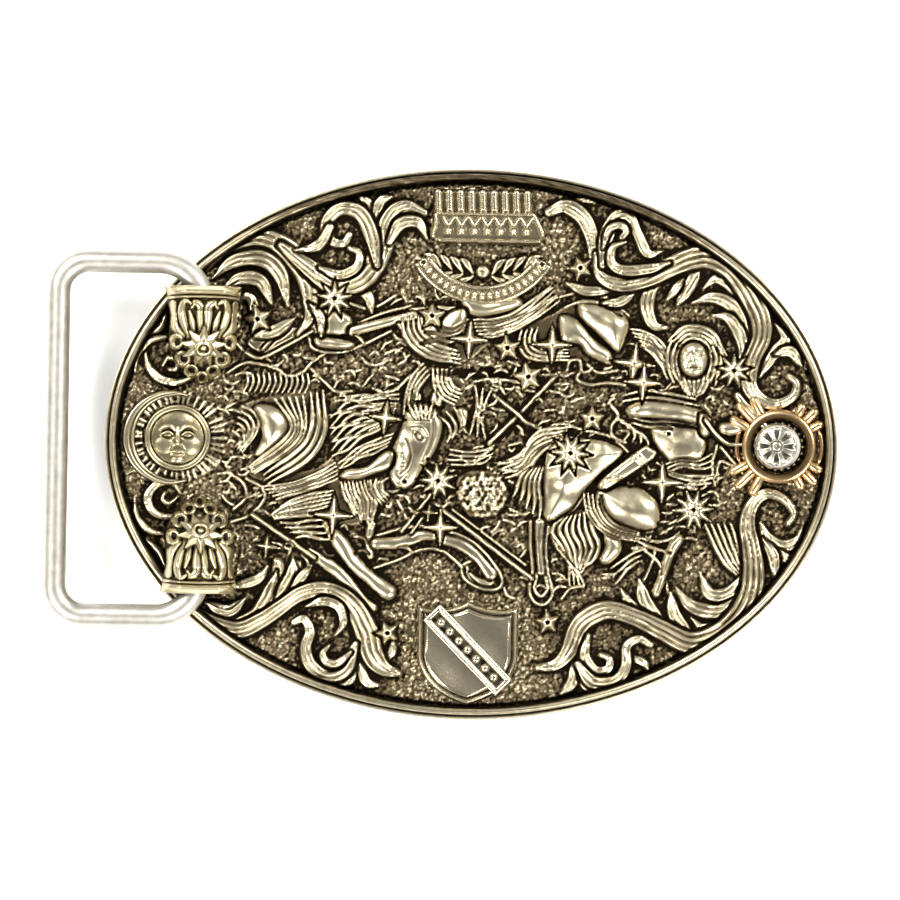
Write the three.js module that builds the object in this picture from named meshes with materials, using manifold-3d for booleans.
// Oval cast belt buckle, lying on its front with the back up.
// Two shells nest in each other: a front plate shaped as a shallow tray, and a back plate set inside its lip.
// On the back stand two hinge lugs that hold the sprung ends of a wire bail, which the strap is folded round,
// and a stud that goes through one of the strap's holes. Both shells curve up towards the ends of the oval,
// round the wearer's waist, and are flat in the middle, where the buckle rests.
// Millimetres, +Z up. The origin is the middle of the flat panel on the front, which is the lowest face.

import * as THREE from "three";
import { mergeVertices } from "three/addons/utils/BufferGeometryUtils.js";
import Module from "manifold-3d";

const wasm = await Module();
wasm.setup();

// ---- Driving dimensions ----

const PLATE_LENGTH = 92.4;
const PLATE_WIDTH = 69.8;
const FLAT_HALF = 14; // the plates are flat for |x| up to here
const BEND_RADIUS = 180; // and curve up on this radius beyond it
const SEAM = 0.15; // running gap between nested or seated pieces

const FRONT_FIELD = 0.9; // the front's ornament stands this far down from its ground
const TRAY_FLOOR = 2.6; // inside of the front plate
const LIP_TOP = 4.6;
const LIP_WIDTH = 0.45;
const BACK_FIELD = 4.2; // ground of the back plate
const RIM_TOP = 5.4; // bead round the back plate
const RIM_WIDTH = 0.9;
const PANEL_RADIUS = 10; // flat panel on the front, stretched to an oval with the plate

const STRAP_WIDTH = 40;
const WIRE = 3; // bail wire diameter
const BAIL_HALF_SPAN = (STRAP_WIDTH + WIRE) / 2 + 0.75;
const BAIL_REACH = 18.2; // hinge axis to the centre of the cross bar
const BAIL_CORNER = 3.8; // bends of the wire, on its centreline
const BAIL_ELBOW = 5.5;
const BAIL_END = 12.9; // the wire's ends stop at this distance from the middle

const LUG_X = -34.3; // foot of the lugs
const LUG_AXIS = 3.25; // hinge axis above the foot
const LUG_HALF_WIDTH = 4.8;
const LUG_MOUTH = 19.3; // outer end of each lug
const LUG_TOE = 7; // inner end of each lug
const LUG_HEIGHT = 7;
const BORE = 1.8;
const BORE_FLARE = 2.6;
const STAR_RADIUS = 2.9;
const STAR_POINTS = 9;

const STUD_X = 39;
const STUD_Y = 0.4;
const POST_RADIUS = 1.7;
const POST_HEIGHT = 5; // room for the strap under the head
const HEAD_RADIUS = 2.9;
const HEAD_TOP = 7.3;
const COLLAR_OUTER = 4.7;
const COLLAR_INNER = 3.45;
const COLLAR_HEIGHT = 1.5;

const MOON_X = -37.2;
const MOON_RADIUS = 4.2;
const CRESCENT_RADIUS = 6;

const PLATE_SIDES = 64;
const ROUND_SIDES = 24;
const WIRE_SIDES = 16;
const BEND_STEPS = 6;

const HALF_LENGTH = PLATE_LENGTH / 2;
const HALF_WIDTH = PLATE_WIDTH / 2;

// ---- Materials ----

const metal = (color, roughness) => new THREE.MeshStandardMaterial({ color, roughness, metalness: 1 });
const nickelSilver = metal(0xb8ad8a, 0.35);
const lugMetal = metal(0xd2c8a0, 0.3);
const polished = metal(0xd8d0b4, 0.15);
const brass = metal(0xc9a468, 0.3);
const steel = metal(0xc9c5bd, 0.4);

// ---- Solids ----

// A closed three.js geometry as a manifold-3d solid.
function solid(geometry) {
  const bare = geometry.clone();
  bare.deleteAttribute("normal");
  bare.deleteAttribute("uv");
  const merged = mergeVertices(bare, 1e-4);
  return new wasm.Manifold(
    new wasm.Mesh({
      numProp: 3,
      vertProperties: new Float32Array(merged.attributes.position.array),
      triVerts: new Uint32Array(merged.index.array),
    }),
  );
}

// A manifold-3d solid as a three.js geometry.
function geometryOf(shape) {
  const mesh = shape.getMesh();
  const geometry = new THREE.BufferGeometry();
  geometry.setAttribute("position", new THREE.BufferAttribute(Float32Array.from(mesh.vertProperties), 3));
  geometry.setIndex(new THREE.BufferAttribute(Uint32Array.from(mesh.triVerts), 1));
  geometry.computeVertexNormals();
  return geometry;
}

const points = (pairs) => pairs.map(([a, b]) => new THREE.Vector2(a, b));

// A turned piece about +Z. The profile runs [radius, z] from its lowest point outwards and up.
function turned(profile, sides = ROUND_SIDES) {
  return new THREE.LatheGeometry(points(profile), sides).rotateX(Math.PI / 2);
}

// A turned ring: its profile closes on itself instead of on the axis.
const ring = (profile, sides = ROUND_SIDES) => turned([...profile, profile[0]], sides);

// A flat outline extruded up from z = low to z = high.
function slab(shape, low, high, curveSegments = 12) {
  const geometry = new THREE.ExtrudeGeometry(shape, { depth: high - low, bevelEnabled: false, curveSegments });
  return geometry.translate(0, 0, low);
}

// ---- The plates' curve ----

const pastFlat = (x) => Math.max(0, Math.abs(x) - FLAT_HALF);
const bend = (x) => pastFlat(x) ** 2 / (2 * BEND_RADIUS);
const slope = (x) => (Math.sign(x) * pastFlat(x)) / BEND_RADIUS;

// Turns a round plate into the oval one, keeping the rim's width all round, and bends it.
function ovalPlate(profile) {
  const geometry = turned(profile, PLATE_SIDES);
  const place = geometry.attributes.position;
  for (let i = 0; i < place.count; i++) {
    const x = place.getX(i);
    const radius = Math.hypot(x, place.getY(i));
    const stretch = (HALF_LENGTH - HALF_WIDTH) * Math.min(1, radius / (0.85 * HALF_WIDTH));
    const wide = radius > 0 ? (x * (radius + stretch)) / radius : x;
    place.setX(i, wide);
    place.setZ(i, place.getZ(i) + bend(wide));
  }
  return geometry;
}

// Where a piece stands on the back: at (x, y) on the ground, leaning with the curve.
function seat(x, y) {
  const matrix = new THREE.Matrix4().makeRotationY(-Math.atan(slope(x)));
  return matrix.setPosition(x, y, BACK_FIELD + bend(x));
}

const seatedAt = (geometry, x, y) => solid(geometry.clone().applyMatrix4(seat(x, y)));

// ---- The shells ----

function frontPlate() {
  return ovalPlate([
    [0, 0],
    [PANEL_RADIUS, 0],
    [PANEL_RADIUS + 0.8, FRONT_FIELD],
    [17, FRONT_FIELD],
    [23, FRONT_FIELD],
    [HALF_WIDTH - 4.2, FRONT_FIELD],
    [HALF_WIDTH - 3.6, 0.35],
    [HALF_WIDTH - 1.2, 0.35],
    [HALF_WIDTH, 1.5],
    [HALF_WIDTH, LIP_TOP - 0.2],
    [HALF_WIDTH - 0.15, LIP_TOP],
    [HALF_WIDTH - LIP_WIDTH, LIP_TOP],
    [HALF_WIDTH - LIP_WIDTH, TRAY_FLOOR],
    [23, TRAY_FLOOR],
    [17, TRAY_FLOOR],
    [PANEL_RADIUS, TRAY_FLOOR],
    [0, TRAY_FLOOR],
  ]);
}

function backPlateBlank() {
  const edge = HALF_WIDTH - LIP_WIDTH - SEAM;
  const under = TRAY_FLOOR + SEAM;
  return ovalPlate([
    [0, under],
    [PANEL_RADIUS, under],
    [17, under],
    [23, under],
    [edge, under],
    [edge, RIM_TOP - 0.35],
    [edge - 0.25, RIM_TOP],
    [edge - 0.6, RIM_TOP],
    [edge - RIM_WIDTH, BACK_FIELD],
    [23, BACK_FIELD],
    [17, BACK_FIELD],
    [PANEL_RADIUS, BACK_FIELD],
    [0, BACK_FIELD],
  ]);
}

// The space taken by the rim, which anything overhanging it stands clear of.
function rimClearance() {
  const inner = HALF_WIDTH - LIP_WIDTH - SEAM - RIM_WIDTH - 0.3;
  const band = [
    [inner, 0],
    [HALF_WIDTH + 3, 0],
    [HALF_WIDTH + 3, RIM_TOP + 0.3],
    [inner, RIM_TOP + 0.3],
  ];
  return solid(ovalPlate([...band, band[0]]));
}

// Countersunk hole through the back plate, seen from a seat on it.
const UNDER = TRAY_FLOOR + SEAM - BACK_FIELD; // underside of the back plate below its ground
function countersunkHole(hole, sink) {
  return turned([
    [0, UNDER - 1],
    [sink, UNDER - 1],
    [sink, UNDER + 0.15],
    [hole, UNDER + 0.15 + (sink - hole)],
    [hole, 1],
    [0, 1],
  ]);
}

const SCREW_X = 3.3;
const SCREW_Y = 16.3;
const SCREW_RADIUS = 0.9;
const SCREW_HEAD = 1.5;
const SPIGOT = 1.15;

const screwPlaces = [
  [1, 1],
  [-1, 1],
  [1, -1],
  [-1, -1],
].map(([sideX, sideY]) => [sideX * SCREW_X, sideY * SCREW_Y]);

function backPlate() {
  let plate = solid(backPlateBlank());
  for (const [x, y] of screwPlaces) {
    const hole = countersunkHole(SCREW_RADIUS + SEAM, SCREW_HEAD + SEAM).translate(x, y, 0);
    plate = plate.subtract(seatedAt(hole, LUG_X, 0));
  }
  return plate.subtract(seatedAt(countersunkHole(SPIGOT + SEAM, SPIGOT + 0.7), STUD_X, STUD_Y));
}

// ---- Hinge lugs ----

const STAR_SEAT = { high: 14.2, low: 9.6, highZ: 5.6, lowZ: 2.9 }; // the sloping face under the star
const starTilt = Math.atan2(STAR_SEAT.highZ - STAR_SEAT.lowZ, STAR_SEAT.high - STAR_SEAT.low);
const starY = (STAR_SEAT.high + STAR_SEAT.low) / 2;
const starZ = (STAR_SEAT.highZ + STAR_SEAT.lowZ) / 2;

// The upper lug, at +Y. It is what three outlines have in common: the arch seen along the hinge,
// the slope seen from the side, and the waisted plan that ends in a rounded toe.
function lugSolid() {
  const length = LUG_MOUTH - LUG_TOE;
  const arch = new THREE.Shape();
  arch.moveTo(-LUG_HALF_WIDTH, SEAM);
  arch.lineTo(LUG_HALF_WIDTH, SEAM);
  arch.lineTo(LUG_HALF_WIDTH, 2.2);
  arch.absellipse(0, 2.2, LUG_HALF_WIDTH, LUG_HEIGHT - 2.2, 0, Math.PI, false);
  const archBody = slab(arch, 0, length).rotateX(Math.PI / 2).translate(0, LUG_MOUTH, 0);

  const side = new THREE.Shape(
    points([
      [LUG_TOE, 0],
      [LUG_MOUTH, 0],
      [LUG_MOUTH, LUG_HEIGHT],
      [16, 6.7],
      [STAR_SEAT.high, STAR_SEAT.highZ],
      [STAR_SEAT.low, STAR_SEAT.lowZ],
      [LUG_TOE, 1.1],
    ]),
  );
  const sideBody = slab(side, -LUG_HALF_WIDTH, LUG_HALF_WIDTH);
  const turn = new THREE.Matrix4().makeBasis(
    new THREE.Vector3(0, 1, 0),
    new THREE.Vector3(0, 0, 1),
    new THREE.Vector3(1, 0, 0),
  );
  sideBody.applyMatrix4(turn);

  const plan = new THREE.Shape();
  plan.moveTo(-LUG_HALF_WIDTH, LUG_MOUTH);
  plan.quadraticCurveTo(-4, 16.5, -4.3, 12.4);
  plan.quadraticCurveTo(-4, 8, 0, LUG_TOE);
  plan.quadraticCurveTo(4, 8, 4.3, 12.4);
  plan.quadraticCurveTo(4, 16.5, LUG_HALF_WIDTH, LUG_MOUTH);
  const planBody = slab(plan, 0, LUG_HEIGHT, 6);

  const bore = turned([
    [0, BAIL_END - 0.4],
    [BORE, BAIL_END - 0.4],
    [BORE, 17.2],
    [2.1, 18.3],
    [BORE_FLARE, LUG_MOUTH],
    [BORE_FLARE, LUG_MOUTH + 1],
    [0, LUG_MOUTH + 1],
  ])
    .rotateX(-Math.PI / 2)
    .translate(0, 0, LUG_AXIS);

  let lug = solid(archBody).intersect(solid(sideBody)).intersect(solid(planBody)).subtract(solid(bore));
  for (const x of [-SCREW_X, SCREW_X]) {
    const hole = turned([
      [0, -1],
      [SCREW_RADIUS + 0.1, -1],
      [SCREW_RADIUS + 0.1, 2.6],
      [0, 2.6],
    ], 12).translate(x, SCREW_Y, 0);
    lug = lug.subtract(solid(hole));
  }
  const pinHole = turned([
    [0, -1.5],
    [0.75, -1.5],
    [0.75, 2],
    [0, 2],
  ], 12).applyMatrix4(starPlace());
  const rim = rimClearance().transform(seat(LUG_X, 0).invert().elements);
  return lug.subtract(solid(pinHole)).subtract(rim);
}

// The star's own frame on the upper lug's slope.
function starPlace() {
  return new THREE.Matrix4().makeRotationX(starTilt).setPosition(0, starY, starZ);
}

// Nine-pointed star with a domed eye, and the short pin that holds it in the lug.
function starSolid() {
  const star = new THREE.Shape();
  for (let i = 0; i < 2 * STAR_POINTS; i++) {
    const radius = i % 2 ? 0.48 * STAR_RADIUS : STAR_RADIUS;
    const angle = (i * Math.PI) / STAR_POINTS - Math.PI / 2;
    const at = [radius * Math.cos(angle), radius * Math.sin(angle)];
    if (i) star.lineTo(...at);
    else star.moveTo(...at);
  }
  const eyeAndPin = turned([
    [0, -1.2],
    [0.6, -1.2],
    [0.6, SEAM],
    [1, SEAM],
    [1, 0.9],
    [0.7, 1.15],
    [0, 1.25],
  ], 16);
  const flat = slab(star, SEAM, 0.65);
  return solid(flat)
    .add(solid(eyeAndPin))
    .transform(starPlace().elements);
}

function lugScrew(x, y) {
  return turned([
    [0, UNDER + 0.05],
    [SCREW_HEAD, UNDER + 0.05],
    [SCREW_HEAD, UNDER + 0.15],
    [SCREW_RADIUS, UNDER + 0.15 + SCREW_HEAD - SCREW_RADIUS],
    [SCREW_RADIUS, 2.4],
    [0, 2.4],
  ], 16).translate(x, y, 0);
}

// ---- Wire bail ----

// The wire's centreline in its own frame: +Y is the hinge axis and the bar is at -X.
function bailCorners() {
  const corners = [new THREE.Vector3(0, BAIL_END, 0)];
  const bendRound = (x, y, radius, from) => {
    for (let i = 0; i <= BEND_STEPS; i++) {
      const angle = from + (i * Math.PI) / 2 / BEND_STEPS;
      corners.push(new THREE.Vector3(x + radius * Math.cos(angle), y + radius * Math.sin(angle), 0));
    }
  };
  const elbowY = BAIL_HALF_SPAN - BAIL_ELBOW;
  const cornerX = BAIL_CORNER - BAIL_REACH;
  const cornerY = BAIL_HALF_SPAN - BAIL_CORNER;
  bendRound(-BAIL_ELBOW, elbowY, BAIL_ELBOW, 0);
  bendRound(cornerX, cornerY, BAIL_CORNER, Math.PI / 2);
  bendRound(cornerX, -cornerY, BAIL_CORNER, Math.PI);
  bendRound(-BAIL_ELBOW, -elbowY, BAIL_ELBOW, 1.5 * Math.PI);
  corners.push(new THREE.Vector3(0, -BAIL_END, 0));
  return corners;
}

// The wire as a ring of vertices at each corner of the path, each ring in the plane that halves the corner.
function bailGeometry() {
  const corners = bailCorners();
  const up = new THREE.Vector3(0, 0, 1);
  const vertices = [];
  corners.forEach((corner, i) => {
    const before = corner.clone().sub(corners[Math.max(0, i - 1)]).normalize();
    const after = corners[Math.min(corners.length - 1, i + 1)].clone().sub(corner).normalize();
    const along = before.clone().add(after).normalize();
    const across = along.clone().cross(up);
    const stretch = 1 / Math.max(0.5, along.dot(i ? before : after));
    for (let k = 0; k < WIRE_SIDES; k++) {
      const angle = ((k + 0.5) * 2 * Math.PI) / WIRE_SIDES;
      vertices.push(
        corner.clone()
          .addScaledVector(across, (stretch * Math.cos(angle) * WIRE) / 2)
          .addScaledVector(up, (Math.sin(angle) * WIRE) / 2),
      );
    }
  });
  vertices.push(corners[0].clone(), corners.at(-1).clone());
  const faces = [];
  const last = (corners.length - 1) * WIRE_SIDES;
  for (let k = 0; k < WIRE_SIDES; k++) {
    const next = (k + 1) % WIRE_SIDES;
    for (let at = 0; at < last; at += WIRE_SIDES) {
      const [a, b, c, d] = [at + k, at + next, at + WIRE_SIDES + next, at + WIRE_SIDES + k];
      faces.push(a, c, b, a, d, c);
    }
    faces.push(vertices.length - 2, k, next);
    faces.push(vertices.length - 1, last + next, last + k);
  }
  return new THREE.BufferGeometry().setFromPoints(vertices).setIndex(faces);
}

// ---- Stud ----

function studPost() {
  return turned([
    [0, UNDER + 0.05],
    [SPIGOT + 0.5, UNDER + 0.05],
    [SPIGOT, UNDER + 0.6],
    [SPIGOT, SEAM],
    [POST_RADIUS, SEAM],
    [POST_RADIUS, POST_HEIGHT],
    [0.9, POST_HEIGHT],
    [0.9, POST_HEIGHT + 1],
    [0, POST_HEIGHT + 1],
  ]);
}

// The head sits on the post's tip, in a blind hole.
function studHead() {
  const under = POST_HEIGHT + SEAM;
  const body = turned([
    [0, under],
    [HEAD_RADIUS - 0.5, under],
    [HEAD_RADIUS, under + 0.4],
    [HEAD_RADIUS, under + 0.8],
    [2.35, HEAD_TOP - 0.5],
    [1.4, HEAD_TOP - 0.1],
    [0.6, HEAD_TOP],
    [0, HEAD_TOP],
  ]);
  const hole = turned([
    [0, under - 1],
    [1.05, under - 1],
    [1.05, under + 1],
    [0, under + 1],
  ]);
  return solid(body).subtract(solid(hole));
}

function beadRing() {
  return ring([
    [POST_RADIUS + SEAM, SEAM],
    [COLLAR_INNER - SEAM, SEAM],
    [COLLAR_INNER - SEAM, 0.55],
    [2.75, 1],
    [POST_RADIUS + SEAM, 0.55],
  ]);
}

// The brass ring that the strap lies on, with four sheaves of rays.
function sunCollar() {
  const band = ring([
    [COLLAR_INNER, SEAM],
    [COLLAR_OUTER, SEAM],
    [COLLAR_OUTER, 1],
    [COLLAR_OUTER - 0.25, COLLAR_HEIGHT],
    [COLLAR_INNER + 0.2, COLLAR_HEIGHT],
    [COLLAR_INNER, COLLAR_HEIGHT - 0.2],
  ], 32);
  let sun = solid(band);
  for (const [middle, reach] of [
    [45, 6.6],
    [135, 7.5],
    [225, 7.5],
    [315, 6.6],
  ]) {
    for (const step of [-1, 0, 1]) {
      const inner = COLLAR_OUTER - 0.4;
      const outer = reach - 0.5 * Math.abs(step);
      const bar = new THREE.BoxGeometry(outer - inner, 0.9, 0.8)
        .translate((inner + outer) / 2, 0, 0.7)
        .rotateZ(((middle + 17 * step) * Math.PI) / 180);
      sun = sun.add(solid(bar));
    }
  }
  return sun;
}

// ---- Ornaments set on the back ----

function moonDisc() {
  return turned([
    [0, SEAM],
    [MOON_RADIUS, SEAM],
    [MOON_RADIUS, 1],
    [MOON_RADIUS - 0.2, 1.2],
    [MOON_RADIUS - 0.5, 0.95],
    [2.4, 1.6],
    [0, 1.9],
  ], 32);
}

function crescent() {
  const shape = new THREE.Shape();
  const inner = CRESCENT_RADIUS - 0.75;
  shape.absarc(0, 0, CRESCENT_RADIUS, 0.36 * Math.PI, 1.64 * Math.PI, false);
  shape.absarc(0.95, 0, inner, 1.62 * Math.PI, 0.38 * Math.PI, true);
  return slab(shape, 0.25, 1.2, 16);
}

// Fluted crest under the rim at the top of the oval.
function crestPanel() {
  const shape = new THREE.Shape(
    points([
      [-5.6, 32.3],
      [-5.2, 29.6],
      [-5.7, 26.3],
      [-4.6, 25.4],
      [8.4, 25.4],
      [9.2, 27.2],
      [7.6, 29.6],
      [7.2, 32.3],
    ]).reverse(),
  );
  return slab(shape, BACK_FIELD + SEAM, BACK_FIELD + 1.5);
}

// Plain curved ribbon below the crest.
function ribbonBanner() {
  const outer = 10.2;
  const inner = 7.8;
  const [from, to] = [1.17 * Math.PI, 1.83 * Math.PI];
  const shape = new THREE.Shape();
  shape.absarc(1.1, 27.9, outer, from, to, false);
  shape.absarc(1.1, 27.9, inner, to, from, true);
  return slab(shape, BACK_FIELD + SEAM, BACK_FIELD + 1.5, 16);
}

const SHIELD_TOP = 1.5;

// Polished shield at the bottom of the oval, and the plain band laid across it.
function shield() {
  const shape = new THREE.Shape();
  shape.moveTo(-6.4, -20.4);
  shape.lineTo(-6.4, -27);
  shape.quadraticCurveTo(-5.6, -31.6, 0, -33);
  shape.quadraticCurveTo(5.6, -31.6, 6.4, -27);
  shape.lineTo(6.4, -20.4);
  shape.quadraticCurveTo(3.2, -21.6, 0, -19.8);
  shape.quadraticCurveTo(-3.2, -21.6, -6.4, -20.4);
  return slab(shape, BACK_FIELD + SEAM, BACK_FIELD + SHIELD_TOP, 6);
}

function shieldBand() {
  return new THREE.BoxGeometry(13.2, 3, 0.5)
    .rotateZ(-0.79)
    .translate(0, -26, BACK_FIELD + SHIELD_TOP + SEAM + 0.25);
}

// ---- Assembly ----

const buckle = new THREE.Group();

function add(name, geometry, material, place = new THREE.Matrix4()) {
  const mesh = new THREE.Mesh(geometry, material);
  mesh.name = name;
  place.decompose(mesh.position, mesh.quaternion, mesh.scale);
  buckle.add(mesh);
}

add("front_plate", frontPlate(), nickelSilver);
add("back_plate", geometryOf(backPlate()), nickelSilver);

const lugSeat = seat(LUG_X, 0);
const upperLug = lugSolid();
const upperStar = starSolid();
add("upper_lug", geometryOf(upperLug), lugMetal, lugSeat);
add("lower_lug", geometryOf(upperLug.mirror([0, 1, 0])), lugMetal, lugSeat);
add("upper_lug_star", geometryOf(upperStar), lugMetal, lugSeat);
add("lower_lug_star", geometryOf(upperStar.mirror([0, 1, 0])), lugMetal, lugSeat);
screwPlaces.forEach(([x, y], i) => add(`lug_screw_${i + 1}`, lugScrew(x, y), steel, lugSeat));

const hinge = new THREE.Vector3(0, 0, LUG_AXIS).applyMatrix4(lugSeat);
add("bail", bailGeometry(), steel, new THREE.Matrix4().setPosition(hinge));

const studSeat = seat(STUD_X, STUD_Y);
add("stud_post", studPost(), lugMetal, studSeat);
add("stud_head", geometryOf(studHead()), lugMetal, studSeat);
add("stud_bead_ring", beadRing(), lugMetal, studSeat);
add("sun_collar", geometryOf(sunCollar()), brass, studSeat);

add("moon_disc", moonDisc(), lugMetal, seat(MOON_X, 0.2));
add("crescent", crescent(), nickelSilver, seat(MOON_X - 1, 0.2));
add("crest_panel", crestPanel(), polished);
add("ribbon_banner", ribbonBanner(), polished);
add("shield", shield(), polished);
add("shield_band", shieldBand(), polished);

export default buckle;
